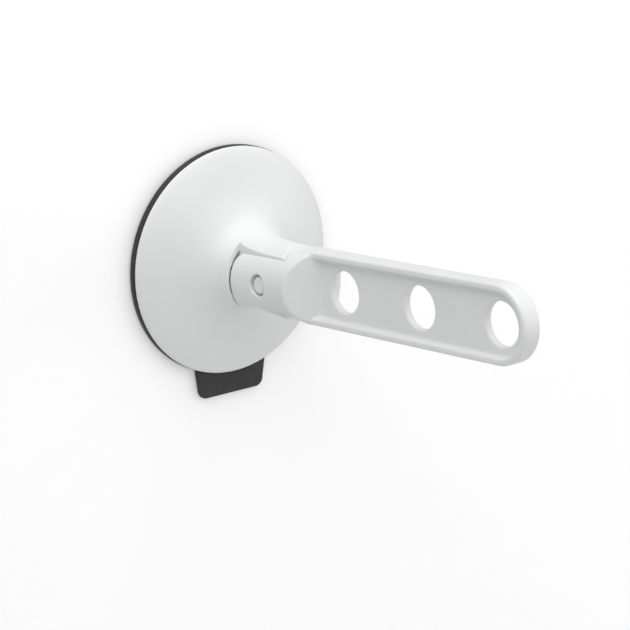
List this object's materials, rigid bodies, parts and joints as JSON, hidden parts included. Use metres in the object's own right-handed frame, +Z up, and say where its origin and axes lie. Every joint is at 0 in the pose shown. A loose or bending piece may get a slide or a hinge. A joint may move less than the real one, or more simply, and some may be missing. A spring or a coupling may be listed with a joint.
{
  "type": "suction hanger arm",
  "caption": "Lever suction cup for a smooth wall with a white domed cover and a folding arm whose round holes hold clothes hangers.",
  "frame": {"origin": "centre of the cup's sealing face, on the wall", "axes": "+Y into the wall, -Y out along the arm, +Z up, hinge along X"},
  "size_m": [0.1206, 0.2284, 0.1332],
  "materials": {
    "white_plastic": "satin",
    "inner_plastic": "matt",
    "cup_rubber": "matt",
    "steel": "turned"
  },
  "bodies": {
    "base": {"suction_cup": "cup_rubber", "pressure_plate": "inner_plastic", "plate_screw_1": "steel", "plate_screw_2": "steel", "plate_screw_3": "steel", "plate_screw_4": "steel", "front_cover": "white_plastic", "return_spring": "steel"},
    "tab": {"release_tab": "cup_rubber"},
    "stud": {"cup_stud": "steel", "spring_washer": "steel", "eye_bush": "inner_plastic"},
    "lever": {"arm": "white_plastic", "hinge_axle": "steel", "axle_cap_left": "white_plastic", "axle_cap_right": "white_plastic"}
  },
  "joints": [
    {"name": "stud_pull", "type": "slide", "parent": "base", "child": "stud", "axis": [0, 1, 0], "range_m": [0, 0.003], "deforming": ["return_spring", "suction_cup"]},
    {"name": "arm_fold", "type": "hinge", "parent": "stud", "child": "lever", "pos_m": [0, -0.0512, -0.0005], "axis": [-1, 0, 0], "range_deg": [0, 50]},
    {"name": "tab_peel", "type": "hinge", "parent": "base", "child": "tab", "pos_m": [0, -0.0028, -0.0563], "axis": [-1, 0, 0], "range_deg": [0, 20], "stiffness_Nm_per_rad": 0.003}
  ],
  "couplings": [
    {"joint": "stud_pull", "follows": "arm_fold", "m_per_rad": 0.0034}
  ]
}
